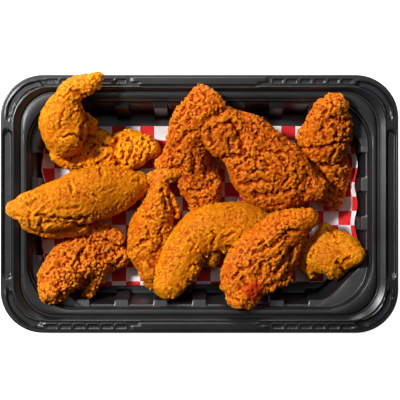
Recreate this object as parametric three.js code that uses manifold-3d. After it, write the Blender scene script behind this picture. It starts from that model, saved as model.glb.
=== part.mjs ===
import * as THREE from 'three';
import { mergeVertices } from 'three/addons/utils/BufferGeometryUtils.js';
import Module from 'manifold-3d';

// A takeaway tray of fried chicken tenders on check paper, in millimetres, +Z up.
// The origin is the centre of the tray's underside. +X runs along the tray's long side
// and +Y towards the long side that the tallest tenders lean on.

// Driving dimensions of the tray. Each step of the rim has its inset from the tray's outer
// edge at the ends and at the sides, its corner radius and its height.
const TRAY_LENGTH = 325;
const TRAY_WIDTH = 211;
const TRAY_HEIGHT = 46;
const WALL = 1.3;
const LIP = { end: 0, side: 0, radius: 35, z: 43 };
const FLANGE_OUTER = { end: 0.7, side: 0.7, radius: 34.5, z: TRAY_HEIGHT };
const FLANGE_INNER = { end: 15.5, side: 13, radius: 29, z: TRAY_HEIGHT };
const SHELF_OUTER = { end: 17, side: 14.5, radius: 42, z: 42 };
const SHELF_INNER = { end: 21.5, side: 18.7, radius: 38, z: 42 };
const LEDGE_OUTER = { end: 24, side: 21.2, radius: 36, z: 36 };
const WELL_LIP = { end: 26, side: 23, z: 35.5 };
const WALL_LEAN = 5.5;
const FLOOR_FILLET = 1.6;
const BEND_SHIFT = WALL * 0.6;

// The wall of the well: ribs that stand inwards, and a flat platform across each corner.
const RIB_DEPTH = 3.5;
const RIB_TIP = 10.7;
const RIB_BASE = 13;
const LONG_RIBS = [64, 32, 0];
const SHORT_RIBS = [16, 48];
const PLATFORM_START = 89.5;
const PLATFORM_CUT = 184;
const CORNER_STEPS = 6;

// Grooves and panels pressed into the flange.
const GROOVE_DEPTH = 0.6;
const CORNER_GROOVE = { radius: 27, width: 4.5, tipWidth: 1.6, sweep: 78, steps: 7 };
const END_GROOVE = { inset: 6.2, width: 7.4, length: 120 };
const SIDE_DASH = { inset: 5, width: 3.2, length: 8.8, pitch: 11.3, first: 64, count: 6 };
const SIDE_PANEL = { near: 3, far: 9.5, half: 48.5, rise: 0.7, stepFar: 7, stepHalf: 55, stepRise: 0.42 };

// The paper on the floor of the tray, which turns up against both end walls.
const PAPER_THICKNESS = 0.4;
const PAPER_FLAT_HALF = 112;
const PAPER_END_RISE = 19;
const PAPER_END_REACH = 17.4;
const PAPER_END_LENGTH = 23.75;
const PAPER_END_BEND = 1.6;
const PAPER_BACK = 66;
const PAPER_FRONT = 71;
const PAPER_FRONT_SKEW = 5;
const PAPER_CORNER_INSET = 8;
const PAPER_CORNER_RISE = 4;
const PAPER_WAVE = 0.25;
const PAPER_WAVE_LENGTH = 80;
const PAPER_COLUMNS = 22;
const PAPER_ROWS = 8;

// Free space kept between pieces that touch.
const GAP = 0.32;

// The tenders, lowest first. Each lobe is a row of stations along its middle line:
// [x, y, z, half width, half thickness]. Lobes of one tender are fused.
// Relief is the height of its lumps, and a tender lies on those named in restsOn.
const TENDERS = [
  {
    name: 'tender_low',
    relief: 4,
    restsOn: [],
    lobes: [
      [[-120, 41, 17, 5, 6], [-110, 40, 17, 10, 10], [-93, 43, 17, 14, 13], [-80, 43, 16, 13, 13]],
      [[-97, 53, 17, 8, 9], [-88, 54, 17, 9, 10], [-79, 49, 17, 8, 10]],
      [[-66, 44, 16, 15, 13], [-54, 45, 17, 16, 14], [-44, 47, 15, 11, 12]],
    ],
  },
  {
    name: 'tender_middle',
    relief: 3.4,
    restsOn: [],
    lobes: [
      [[-32, 21, 26, 6, 7], [-34, 0, 21, 11, 12], [-38, -13, 19, 16, 15], [-43, -27, 18, 18, 16],
        [-43, -40, 17, 15, 15], [-42, -53, 16, 13, 14], [-40, -62, 14, 7, 10]],
      [[-39, 20, 26, 4, 5], [-30, 24, 27, 6, 7], [-20, 25, 26, 5, 6]],
      [[-26, 6, 22, 4, 5], [-20, -2, 20, 3, 5], [-18, -10, 19, 2, 4]],
    ],
  },
  {
    name: 'tender_upright',
    relief: 4,
    restsOn: ['tender_middle'],
    lobes: [
      [[8, 83, 55, 15, 10], [3, 76, 50, 17, 13], [-5, 67, 42, 18, 15], [-9, 55, 34, 17, 16],
        [-8, 42, 27, 17, 15], [-3, 29, 20, 15, 13], [1, 17, 16, 17, 13], [1, 6, 14, 15, 11],
        [0, -4, 12, 9, 8]],
      [[-15, 56, 29, 7, 10], [-19, 45, 25, 8, 12], [-24, 37, 24, 7, 9], [-30, 32, 25, 5, 7]],
    ],
  },
  {
    name: 'tender_ragged',
    relief: 4.4,
    restsOn: [],
    lobes: [
      [[-120, -69, 46, 11, 10], [-115, -60, 39, 16, 13], [-106, -50, 31, 20, 15],
        [-94, -45, 23, 18, 15], [-81, -44, 18, 15, 14], [-70, -44, 14, 9, 10]],
      [[-87, -56, 19, 9, 9], [-91, -64, 20, 8, 8], [-93, -72, 22, 5, 6]],
      [[-104, -29, 22, 6, 8], [-92, -25, 21, 8, 8], [-78, -24, 19, 8, 8], [-68, -29, 17, 6, 8]],
    ],
  },
  {
    name: 'tender_leaning',
    relief: 3.6,
    restsOn: [],
    lobes: [
      [[108, 78, 49, 12, 10], [107, 71, 44, 17, 13], [105, 61, 37, 21, 15], [103, 50, 29, 21, 16],
        [105, 41, 24, 18, 14]],
      [[107, 37, 20, 16, 13], [110, 26, 15, 15, 12], [113, 14, 12, 12, 9], [113, 3, 11, 9, 8]],
    ],
  },
  {
    name: 'tender_round',
    relief: 3.2,
    restsOn: [],
    lobes: [
      [[95, -50, 18, 12, 14], [100, -44, 21, 18, 18], [109, -42, 22, 21, 19],
        [120, -40, 28, 16, 15], [129, -43, 40, 8, 7]],
      [[103, -29, 26, 8, 10], [104, -22, 27, 6, 7]],
    ],
  },
  {
    name: 'tender_curved',
    relief: 2.6,
    restsOn: ['tender_upright', 'tender_middle'],
    lobes: [
      [[-26, -68, 34, 12, 10], [-20, -55, 29, 17, 13], [-13, -41, 23, 18, 15],
        [-2, -28, 19, 20, 16], [12, -21, 18, 21, 16], [27, -19, 17, 22, 15],
        [42, -18, 17, 21, 14], [54, -22, 15, 15, 11]],
      [[11, -37, 16, 8, 10], [10, -47, 14, 7, 9]],
    ],
  },
  {
    name: 'tender_long',
    relief: 2.2,
    restsOn: ['tender_low', 'tender_middle', 'tender_ragged'],
    lobes: [
      [[-149, -4, 56, 7, 7], [-139, -4, 56, 15, 11], [-126, -4, 52, 18, 13],
        [-110, 1, 46, 20, 14], [-94, 7, 38, 22, 15], [-78, 11, 29, 22, 15],
        [-63, 14, 21, 18, 14], [-53, 16, 16, 11, 11]],
      [[-138, -15, 45, 7, 7], [-124, -19, 42, 8, 8], [-111, -21, 38, 7, 8], [-98, -20, 33, 6, 7]],
    ],
  },
  {
    name: 'tender_hooked',
    relief: 3,
    restsOn: ['tender_low', 'tender_long'],
    lobes: [
      [[-106, 85, 56, 11, 11], [-109, 75, 51, 17, 13], [-111, 62, 45, 19, 14], [-111, 50, 39, 15, 12]],
      [[-80, 102, 62, 4, 5], [-88, 97, 60, 8, 8], [-99, 94, 58, 9, 10], [-106, 87, 57, 9, 10]],
      [[-96, 68, 41, 6, 7], [-90, 69, 38, 5, 7], [-89, 61, 35, 4, 6]],
    ],
  },
  {
    name: 'tender_broad',
    relief: 4,
    restsOn: ['tender_upright', 'tender_leaning', 'tender_curved'],
    lobes: [
      [[22, 61, 43, 14, 12], [36, 60, 43, 15, 12], [48, 52, 42, 15, 13], [60, 42, 40, 14, 13]],
      [[36, 47, 42, 22, 14], [51, 32, 40, 30, 16], [66, 22, 37, 29, 16], [81, 15, 34, 22, 15],
        [93, 12, 33, 11, 11]],
      [[-1, 68, 48, 11, 10], [10, 65, 47, 17, 12], [23, 57, 45, 20, 14]],
    ],
  },
  {
    name: 'tender_top',
    relief: 4,
    restsOn: ['tender_curved', 'tender_round', 'tender_broad'],
    lobes: [
      [[89, -10, 45, 7, 8], [80, -14, 44, 11, 10], [68, -21, 43, 15, 11], [59, -31, 42, 19, 12],
        [51, -43, 42, 22, 13], [43, -56, 43, 24, 13], [37, -67, 46, 21, 12], [36, -75, 48, 14, 10]],
      [[82, -25, 39, 4, 6], [78, -44, 36, 4, 7], [68, -65, 38, 5, 7]],
    ],
  },
];
const SECTIONS_PER_STATION = 1.6;
const SECTION_POINTS = 14;
const FLAP_POINTS = 9;
const FLAP_WIDTH = 9;
const LUMP_SIZE = 14;
const SMALL_LUMP_SIZE = 8;
const LUMP_SHARE = 0.75;
const SMALL_LUMP_SHARE = 0.4;
const CAP_ANGLES = [32, 62];

const CRUST = { color: 0xd08a2c, roughness: 0.55, metalness: 0 };
const BLACK_PLASTIC = { color: 0x2c2c2e, roughness: 0.4, metalness: 0 };
const PAPER = { color: 0xd9b9b4, roughness: 0.8, metalness: 0 };

const wasm = await Module();
wasm.setup();

const radians = THREE.MathUtils.degToRad;

// A closed geometry becomes a solid that can be joined and cut.
function solidFrom(geometry) {
  const bare = geometry.clone();
  bare.deleteAttribute('normal');
  bare.deleteAttribute('uv');
  const merged = mergeVertices(bare, 1e-4);
  return new wasm.Manifold(new wasm.Mesh({
    numProp: 3,
    vertProperties: new Float32Array(merged.attributes.position.array),
    triVerts: new Uint32Array(merged.index.array),
  }));
}

// The largest connected body of a solid, as a geometry. Loose scraps are dropped.
function largestBody(solid) {
  const { vertProperties, triVerts, numProp } = solid.getMesh();
  const parent = Array.from({ length: vertProperties.length / numProp }, (_, i) => i);
  const find = (i) => {
    let root = i;
    while (parent[root] !== root) root = parent[root];
    parent[i] = root;
    return root;
  };
  for (let t = 0; t < triVerts.length; t += 3) {
    parent[find(triVerts[t + 1])] = find(triVerts[t]);
    parent[find(triVerts[t + 2])] = find(triVerts[t]);
  }
  const bodies = new Map();
  for (let t = 0; t < triVerts.length; t += 3) {
    const root = find(triVerts[t]);
    if (!bodies.has(root)) bodies.set(root, []);
    bodies.get(root).push(triVerts[t], triVerts[t + 1], triVerts[t + 2]);
  }
  const largest = [...bodies.values()].sort((a, b) => b.length - a.length)[0];
  const corners = [];
  for (const i of largest) {
    const at = i * numProp;
    corners.push(vertProperties[at], vertProperties[at + 1], vertProperties[at + 2]);
  }
  const geometry = new THREE.BufferGeometry();
  geometry.setAttribute('position', new THREE.Float32BufferAttribute(corners, 3));
  geometry.computeVertexNormals();
  return geometry;
}

// A closed skin through rings of equal length, with a point at each end.
// The rings run counter-clockwise seen against the direction of travel.
function skinThroughRings(rings, firstPoint, lastPoint) {
  const count = rings[0].length;
  const points = [firstPoint, ...rings.flat(), lastPoint];
  const faces = [];
  const last = points.length - 1;
  const at = (ring, k) => 1 + ring * count + (k % count);
  for (let k = 0; k < count; k += 1) {
    faces.push(0, at(0, k + 1), at(0, k));
    faces.push(last, at(rings.length - 1, k), at(rings.length - 1, k + 1));
  }
  for (let r = 0; r < rings.length - 1; r += 1) {
    for (let k = 0; k < count; k += 1) {
      faces.push(at(r, k), at(r, k + 1), at(r + 1, k + 1));
      faces.push(at(r, k), at(r + 1, k + 1), at(r + 1, k));
    }
  }
  const geometry = new THREE.BufferGeometry();
  geometry.setAttribute('position', new THREE.Float32BufferAttribute(
    points.flatMap((p) => [p.x, p.y, p.z]), 3));
  geometry.setIndex(faces);
  return geometry;
}

// Places along one quarter of the tray where a ring has a point, as distances
// from the middle of the side, with the share of the rib depth at each.
function ribStations(centres, pinch) {
  const stations = [];
  for (const centre of centres) {
    const tip = RIB_TIP / 2 - pinch;
    const base = RIB_BASE / 2 - pinch;
    stations.push([centre - base, 0], [centre - tip, 1], [centre + tip, 1], [centre + base, 0]);
  }
  return stations.filter(([place]) => place > 0).sort((a, b) => a[0] - b[0]);
}

function shortSideStations(pinch) {
  return ribStations(SHORT_RIBS, pinch).slice(0, 6);
}

function longSideStations(pinch) {
  const slope = (RIB_BASE - RIB_TIP) / 2;
  const start = PLATFORM_START + pinch;
  return [...ribStations(LONG_RIBS, pinch), [start, 0], [start + slope, 1]];
}

// One full ring from the points of the quarter where x and y are positive.
function mirrorQuarter(quarter, z) {
  const back = [...quarter].reverse();
  const flat = [
    ...quarter,
    ...back.map(([x, y]) => [-x, y]),
    ...quarter.map(([x, y]) => [-x, -y]),
    ...back.map(([x, y]) => [x, -y]),
  ];
  return flat.map(([x, y]) => new THREE.Vector3(x, y, z));
}

// A plain ring of one step of the rim: a rectangle with round corners,
// moved inwards by shift and up by lift.
function rimRing({ end, side, radius, z }, shift = 0, lift = 0) {
  const halfX = TRAY_LENGTH / 2 - end - shift;
  const halfY = TRAY_WIDTH / 2 - side - shift;
  const quarter = shortSideStations(0).map(([y]) => [halfX, y]);
  for (let k = 0; k <= CORNER_STEPS; k += 1) {
    const angle = (k / CORNER_STEPS) * (Math.PI / 2);
    quarter.push([
      halfX - radius + radius * Math.cos(angle),
      halfY - radius + radius * Math.sin(angle),
    ]);
  }
  quarter.push(...longSideStations(0).reverse().map(([x]) => [x, halfY]));
  return mirrorQuarter(quarter, z + lift);
}

// A ring of the well's wall, with ribs and corner platforms, moved inwards by an inset
// from the wall's upper edge. The outer skin's ribs are pinched to keep the wall's thickness.
function wellRing(inset, z, pinch = 0) {
  const gapX = TRAY_LENGTH / 2 - WELL_LIP.end - inset;
  const gapY = TRAY_WIDTH / 2 - WELL_LIP.side - inset;
  const tipX = gapX - RIB_DEPTH;
  const tipY = gapY - RIB_DEPTH;
  const cut = PLATFORM_CUT - inset * Math.SQRT2;
  const quarter = shortSideStations(pinch).map(([y, rib]) => [gapX - rib * RIB_DEPTH, y]);
  const from = [tipX, cut - tipX];
  const to = [cut - tipY, tipY];
  for (let k = 0; k <= CORNER_STEPS; k += 1) {
    const share = k / CORNER_STEPS;
    quarter.push([from[0] + (to[0] - from[0]) * share, from[1] + (to[1] - from[1]) * share]);
  }
  quarter.push(...longSideStations(pinch).reverse().map(([x, rib]) => [x, gapY - rib * RIB_DEPTH]));
  return mirrorQuarter(quarter, z);
}

// The rings of the tray's upper skin from the flange's outer edge down to the floor,
// lifted off the tray by a clearance where another piece lies on it.
function upperRings(clearance, floorHeight) {
  const rim = [FLANGE_OUTER, FLANGE_INNER, SHELF_OUTER, SHELF_INNER, LEDGE_OUTER];
  return [
    ...rim.map((step) => rimRing(step, step === FLANGE_OUTER ? 0 : clearance, clearance)),
    wellRing(clearance, WELL_LIP.z + clearance),
    wellRing(WALL_LEAN + clearance, floorHeight + FLOOR_FILLET),
    wellRing(WALL_LEAN + FLOOR_FILLET + clearance, floorHeight),
  ];
}

// The rings of the tray's underside, from the floor up and out to the lip.
function underRings() {
  return [
    wellRing(WALL_LEAN + FLOOR_FILLET - BEND_SHIFT, 0, BEND_SHIFT),
    wellRing(WALL_LEAN - WALL, FLOOR_FILLET, BEND_SHIFT),
    wellRing(-WALL, WELL_LIP.z - WALL, BEND_SHIFT),
    rimRing(LEDGE_OUTER, -WALL, -WALL),
    rimRing(SHELF_INNER, -WALL, -WALL),
    rimRing(SHELF_OUTER, -WALL, -WALL),
    rimRing(FLANGE_INNER, -BEND_SHIFT, -WALL),
    rimRing(FLANGE_OUTER, WALL, -WALL),
    rimRing(LIP, WALL),
    rimRing(LIP),
  ];
}

// A prism standing on z from an outline drawn in plan.
function prism(shape, z, height, curveSegments = 6) {
  const geometry = new THREE.ExtrudeGeometry(shape, { depth: height, bevelEnabled: false, curveSegments });
  return geometry.translate(0, 0, z);
}

function stadiumShape(length, width) {
  const half = (length - width) / 2;
  const shape = new THREE.Shape();
  shape.absarc(half, 0, width / 2, -Math.PI / 2, Math.PI / 2, false);
  shape.absarc(-half, 0, width / 2, Math.PI / 2, (Math.PI * 3) / 2, false);
  return shape;
}

function rectangleShape(left, right, low, high) {
  const shape = new THREE.Shape();
  shape.moveTo(left, low);
  shape.lineTo(right, low);
  shape.lineTo(right, high);
  shape.lineTo(left, high);
  return shape;
}

// A crescent groove that follows a round corner of the flange.
function crescentShape({ radius, width, tipWidth, sweep, steps }) {
  const outline = [];
  const middle = Math.PI / 4;
  for (let k = 0; k <= steps * 2 + 1; k += 1) {
    const outward = k <= steps;
    const share = outward ? k / steps : (steps * 2 + 1 - k) / steps;
    const angle = middle + radians(sweep) * (share - 0.5);
    const taper = Math.sqrt(Math.max(0, 1 - (2 * share - 1) ** 6));
    const reach = radius + (outward ? 0.5 : -0.5) * (tipWidth + (width - tipWidth) * taper);
    outline.push(new THREE.Vector2(reach * Math.cos(angle), reach * Math.sin(angle)));
  }
  return new THREE.Shape(outline);
}

// The raised panels along the middle of both long flanges, larger all round by grow.
function panelSolids(grow) {
  const { near, far, half, rise, stepFar, stepHalf, stepRise } = SIDE_PANEL;
  const edge = TRAY_WIDTH / 2;
  const panels = [];
  for (const side of [-1, 1]) {
    for (const [length, inner, height] of [[half, far, rise], [stepHalf, stepFar, stepRise]]) {
      const ends = [side * (edge - near + grow), side * (edge - inner - grow)].sort((a, b) => a - b);
      const outline = rectangleShape(-length - grow, length + grow, ends[0], ends[1]);
      panels.push(solidFrom(prism(outline, TRAY_HEIGHT - GROOVE_DEPTH, GROOVE_DEPTH + height + grow)));
    }
  }
  return panels;
}

// The thermoformed tray: one shell with a stepped rim, ribs, platforms and a pressed flange.
function trayGeometry() {
  const floor = new THREE.Vector3(0, 0, WALL);
  const rings = [...underRings(), ...upperRings(0, WALL)];
  const shell = skinThroughRings(rings, new THREE.Vector3(0, 0, 0), floor);
  let tray = solidFrom(shell);

  const cutHeight = TRAY_HEIGHT - GROOVE_DEPTH;
  const cutters = [];
  const cornerX = TRAY_LENGTH / 2 - LIP.radius;
  const cornerY = TRAY_WIDTH / 2 - LIP.radius;
  for (let k = 0; k < 4; k += 1) {
    const toRight = k === 0 || k === 3 ? 1 : -1;
    const toBack = k < 2 ? 1 : -1;
    cutters.push(prism(crescentShape(CORNER_GROOVE), cutHeight, 2)
      .rotateZ((k * Math.PI) / 2)
      .translate(toRight * cornerX, toBack * cornerY, 0));
  }
  for (const side of [-1, 1]) {
    const endX = side * (TRAY_LENGTH / 2 - END_GROOVE.inset);
    cutters.push(prism(stadiumShape(END_GROOVE.length, END_GROOVE.width), cutHeight, 2, 3)
      .rotateZ(Math.PI / 2)
      .translate(endX, 0, 0));
    const dashY = side * (TRAY_WIDTH / 2 - SIDE_DASH.inset);
    for (let k = 0; k < SIDE_DASH.count * 2; k += 1) {
      const half = k < SIDE_DASH.count ? 1 : -1;
      const dashX = half * (SIDE_DASH.first + (k % SIDE_DASH.count) * SIDE_DASH.pitch);
      const dash = rectangleShape(-SIDE_DASH.length / 2, SIDE_DASH.length / 2,
        -SIDE_DASH.width / 2, SIDE_DASH.width / 2);
      cutters.push(prism(dash, cutHeight, 2).translate(dashX, dashY, 0));
    }
  }
  for (const cutter of cutters) {
    tray = tray.subtract(solidFrom(cutter));
  }

  for (const panel of panelSolids(0)) {
    tray = tray.add(panel);
  }
  return largestBody(tray);
}

// Everything that lies under the tray's upper skin and the paper, as one block.
function underBlock(clearance) {
  const margin = 20;
  const rings = [
    rimRing(LIP, -margin, -LIP.z - margin),
    rimRing(LIP, -margin, TRAY_HEIGHT - LIP.z + clearance),
    ...upperRings(clearance, WALL + clearance),
  ];
  const bottom = new THREE.Vector3(0, 0, -margin);
  const floor = new THREE.Vector3(0, 0, WALL + clearance);
  return solidFrom(skinThroughRings(rings, bottom, floor));
}

// Height and reach of the paper along its length: flat on the floor, then up the end wall.
function paperPoint(u, v, lift) {
  const alongHalf = PAPER_FLAT_HALF + PAPER_END_LENGTH;
  const along = u * alongHalf;
  const past = Math.max(0, Math.abs(along) - PAPER_FLAT_HALF);
  const turn = past / PAPER_END_LENGTH;
  const curl = PAPER_END_RISE * turn ** 2;
  const reach = PAPER_FLAT_HALF + PAPER_END_REACH * (1 - (1 - turn) ** PAPER_END_BEND);
  const x = past > 0 ? Math.sign(along) * reach : along;
  const corner = PLATFORM_CUT - PAPER_CORNER_INSET * Math.SQRT2 - Math.abs(x) + PAPER_CORNER_RISE * turn;
  const front = Math.min(PAPER_FRONT - (PAPER_FRONT_SKEW * (u + 1)) / 2, corner);
  const back = Math.min(PAPER_BACK, corner);
  const y = v < 0 ? v * front : v * back;
  const phase = (Math.PI * 2) / PAPER_WAVE_LENGTH;
  const wave = PAPER_WAVE * (1 + Math.sin((x + y) * phase) * Math.cos(y * phase));
  const lean = turn * radians(60);
  const inward = lift * Math.sin(lean);
  const height = WALL + GAP + wave + curl + lift * Math.cos(lean);
  return new THREE.Vector3(x - Math.sign(along) * inward, y, height);
}

// A thin wavy sheet with an upper and a lower face, both split alike.
function paperGeometry(below, thickness) {
  const points = [];
  const faces = [];
  const row = PAPER_ROWS + 1;
  const layer = (PAPER_COLUMNS + 1) * row;
  for (const lift of [-below, thickness]) {
    for (let i = 0; i <= PAPER_COLUMNS; i += 1) {
      for (let j = 0; j <= PAPER_ROWS; j += 1) {
        points.push(paperPoint((i / PAPER_COLUMNS) * 2 - 1, (j / PAPER_ROWS) * 2 - 1, lift));
      }
    }
  }
  const quad = (a, b, c, d) => faces.push(a, b, c, a, c, d);
  for (let i = 0; i < PAPER_COLUMNS; i += 1) {
    for (let j = 0; j < PAPER_ROWS; j += 1) {
      const a = i * row + j;
      quad(layer + a, layer + a + row, layer + a + row + 1, layer + a + 1);
      faces.push(a, a + row + 1, a + row, a, a + 1, a + row + 1);
    }
    const front = i * row;
    const back = front + PAPER_ROWS;
    quad(front, front + row, layer + front + row, layer + front);
    quad(back + row, back, layer + back, layer + back + row);
  }
  for (let j = 0; j < PAPER_ROWS; j += 1) {
    const right = PAPER_COLUMNS * row + j;
    quad(j + 1, j, layer + j, layer + j + 1);
    quad(right, right + 1, layer + right + 1, layer + right);
  }
  const geometry = new THREE.BufferGeometry();
  geometry.setAttribute('position', new THREE.Float32BufferAttribute(
    points.flatMap((p) => [p.x, p.y, p.z]), 3));
  geometry.setIndex(faces);
  return geometry;
}

// A value between -1 and 1 at a corner of the lattice, the same for the same seed.
// The whole numbers scatter the bits of the corner's place.
function latticeValue(i, j, k, seed) {
  let h = Math.imul(i, 374761393) ^ Math.imul(j, 668265263) ^ Math.imul(k, 2147386116);
  h = Math.imul(h ^ (h >>> 13) ^ Math.imul(seed, 1274126177), 1103515245);
  h = Math.imul(h ^ (h >>> 15), 2246822519 | 0);
  return ((h ^ (h >>> 16)) >>> 0) / 2 ** 31 - 1;
}

// Smooth value noise between -1 and 1 with lumps of about that size.
function smoothNoise(point, size, seed) {
  const cell = [point.x / size, point.y / size, point.z / size];
  const base = cell.map(Math.floor);
  const ease = cell.map((value, axis) => {
    const f = value - base[axis];
    return f * f * (3 - 2 * f);
  });
  let sum = 0;
  for (let corner = 0; corner < 8; corner += 1) {
    const step = [corner & 1, (corner >> 1) & 1, (corner >> 2) & 1];
    let weight = 1;
    for (let axis = 0; axis < 3; axis += 1) {
      weight *= step[axis] ? ease[axis] : 1 - ease[axis];
    }
    sum += weight * latticeValue(base[0] + step[0], base[1] + step[1], base[2] + step[2], seed);
  }
  return sum;
}

// One lobe of a tender: a lumpy body of oval sections along its row of stations,
// round at both ends, and larger all round by grow.
function lobeGeometry(stations, relief, seed, grow) {
  const path = new THREE.CatmullRomCurve3(stations.map(([x, y, z]) => new THREE.Vector3(x, y, z)));
  const girth = new THREE.CatmullRomCurve3(stations.map((s) => new THREE.Vector3(s[3], s[4], 0)));
  const widest = Math.max(...stations.map((s) => s[3]));
  const around = widest < FLAP_WIDTH ? FLAP_POINTS : SECTION_POINTS;
  const steps = Math.round((stations.length - 1) * SECTIONS_PER_STATION);
  const rings = [];
  const lump = (point) => relief * (LUMP_SHARE * smoothNoise(point, LUMP_SIZE, seed)
    + SMALL_LUMP_SHARE * smoothNoise(point, SMALL_LUMP_SIZE, seed + 7));

  const addRing = (t, bend) => {
    const centre = path.getPoint(t);
    const tangent = path.getTangent(t);
    const size = girth.getPoint(t);
    const side = new THREE.Vector3(-tangent.y, tangent.x, 0).normalize();
    const up = new THREE.Vector3().crossVectors(tangent, side).normalize();
    const cap = Math.min(size.x, size.y) * Math.sin(bend);
    const swell = Math.cos(bend);
    const ring = [];
    for (let k = 0; k < around; k += 1) {
      const angle = (k / around) * Math.PI * 2;
      const base = centre.clone()
        .addScaledVector(side, size.x * swell * Math.cos(angle))
        .addScaledVector(up, size.y * swell * Math.sin(angle))
        .addScaledVector(tangent, cap);
      const outward = new THREE.Vector3()
        .addScaledVector(side, (Math.cos(angle) * swell) / size.x)
        .addScaledVector(up, (Math.sin(angle) * swell) / size.y)
        .addScaledVector(tangent, Math.sin(bend) / Math.min(size.x, size.y))
        .normalize();
      ring.push(base.addScaledVector(outward, lump(base) + grow));
    }
    rings.push(ring);
  };

  for (const angle of [...CAP_ANGLES].reverse()) {
    addRing(0, -radians(angle));
  }
  for (let k = 0; k <= steps; k += 1) {
    addRing(k / steps, 0);
  }
  for (const angle of CAP_ANGLES) {
    addRing(1, radians(angle));
  }
  const tip = (t, direction) => {
    const size = girth.getPoint(t);
    const reach = Math.min(size.x, size.y) + grow;
    return path.getPoint(t).addScaledVector(path.getTangent(t), direction * reach);
  };
  return skinThroughRings(rings, tip(0, -1), tip(1, 1));
}

function tenderSolid({ lobes, relief }, seed, grow) {
  return lobes
    .map((stations, k) => solidFrom(lobeGeometry(stations, relief, seed * 10 + k, grow)))
    .reduce((whole, lobe) => whole.add(lobe));
}

// A tender with the shape of all that lies under it cut out of its underside.
function tenderGeometry(tender, ground) {
  let solid = tenderSolid(tender, TENDERS.indexOf(tender), 0);
  for (const part of ground) {
    solid = solid.subtract(part);
  }
  for (const name of tender.restsOn) {
    const lower = TENDERS.find((other) => other.name === name);
    solid = solid.subtract(tenderSolid(lower, TENDERS.indexOf(lower), GAP));
  }
  return largestBody(solid);
}

const group = new THREE.Group();
function addPiece(name, geometry, finish) {
  const mesh = new THREE.Mesh(geometry, new THREE.MeshStandardMaterial(finish));
  mesh.name = name;
  group.add(mesh);
}

addPiece('tray', trayGeometry(), BLACK_PLASTIC);
addPiece('paper_liner', largestBody(solidFrom(paperGeometry(0, PAPER_THICKNESS))), PAPER);
const ground = [
  underBlock(GAP),
  ...panelSolids(GAP),
  solidFrom(paperGeometry(2, PAPER_THICKNESS + GAP)),
];
for (const tender of TENDERS) {
  addPiece(tender.name, tenderGeometry(tender, ground), CRUST);
}

export default group;
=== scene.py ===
import math
from functools import partial

import bmesh
import bpy
import numpy as np
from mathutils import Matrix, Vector


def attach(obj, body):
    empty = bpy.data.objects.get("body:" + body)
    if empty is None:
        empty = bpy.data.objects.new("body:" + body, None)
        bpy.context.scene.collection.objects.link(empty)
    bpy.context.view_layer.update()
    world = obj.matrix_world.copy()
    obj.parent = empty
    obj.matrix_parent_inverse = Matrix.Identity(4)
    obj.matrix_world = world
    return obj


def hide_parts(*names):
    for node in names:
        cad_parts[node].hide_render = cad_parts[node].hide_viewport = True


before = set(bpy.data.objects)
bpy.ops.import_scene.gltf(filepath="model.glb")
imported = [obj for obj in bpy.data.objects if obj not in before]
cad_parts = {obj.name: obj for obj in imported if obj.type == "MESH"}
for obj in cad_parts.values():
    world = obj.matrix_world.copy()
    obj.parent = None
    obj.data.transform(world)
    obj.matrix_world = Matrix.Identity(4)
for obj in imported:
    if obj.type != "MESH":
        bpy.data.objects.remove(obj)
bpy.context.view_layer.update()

# The black tray.
# A takeaway tray of black polypropylene sheet, about a millimetre thick, thermoformed in one
# piece: a wide rim with pressed grooves, a stepped shelf for the lid, and a ribbed well.
MM = 0.001
TRAY_HALF_X = 162.5
TRAY_HALF_Y = 105.5
TRAY_WALL = 1.3
TRAY_TOP = 46.0
# Steps of the rim from its outer edge inwards: inset at the ends, inset at the sides,
# corner radius, height and rounding of the edge, in millimetres.
RIM_STEPS = [
    (0.0, 0.0, 35.0, 43.0, 0.3),
    (0.2, 0.2, 34.8, TRAY_TOP, 0.9),
    (9.9, 9.4, 31.0, TRAY_TOP, 0.4),
    (10.6, 10.1, 30.6, 46.5, 0.4),
    (11.3, 10.8, 30.2, 46.1, 0.4),
    (15.4, 12.9, 29.0, 43.5, 0.4),
    (15.9, 13.3, 28.6, 41.6, 0.3),
    (17.7, 14.6, 27.6, 41.6, 0.3),
    (18.2, 15.0, 27.2, 43.6, 0.4),
    (21.2, 18.9, 38.5, 43.2, 0.4),
    (22.0, 19.7, 37.6, 39.6, 0.4),
    (23.2, 20.6, 36.8, 39.9, 0.4),
    (24.2, 21.0, 36.0, 36.4, 0.6),
]
# Into how many stretches each part of the profile is split, along the rim and down the well.
RIM_SPLITS = [2, 18, 1, 1, 2, 1, 1, 1, 2, 1, 1, 1, 1]
WELL_SPLITS = [5, 1, 2]
WELL_ROUNDINGS = [0.8, 1.2, 0.8, 0]
# The underside follows these steps of the rim, then runs flat to the lip in a few rings.
UNDER_STEPS = (12, 10, 7, 6)
FLAT_INNER_STEP = 4
UNDER_FLAT_RINGS = 6
UNDER_FLAT_RADIUS = 33.6
UNDER_LIP_RADIUS = 33.7
WELL_END_INSET = 26.0
WELL_SIDE_INSET = 23.0
WELL_TOP = 35.5
WALL_LEAN = 5.5
FLOOR_FILLET = 1.6
FLOOR_EDGE = 10.0
BEND_SHARE = 0.6
RIB_DEPTH = 3.5
RIB_TIP = 10.7
RIB_BASE = 13.0
LONG_RIBS = (0.0, 32.0, 64.0)
SHORT_RIBS = (16.0, 48.0)
PLATFORM_START = 89.5
PLATFORM_CUT = 184.0
PLATFORM_TURN = 3.0
TURN_PULL = 0.7
END_STRAIGHT = 43.6
SIDE_STRAIGHT = 92.0
DASHES_START = 56.0
END_EXTRA = 13
SIDE_EXTRA = 54
CORNER_STATIONS = 24
PLASTIC_DARK = "#131315"
PLASTIC_LIGHT = "#1B1B1E"
# Spacing of the points along a side: coarse, fine near the dashes, and closest on a rib's flank.
COARSE_STEP = 1.6
FINE_STEP = 0.65
FLANK_REACH = 1.2
FLANK_POINTS = 5
FIRST_PLACE = 0.05
LEAST_STEP = 0.2


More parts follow.
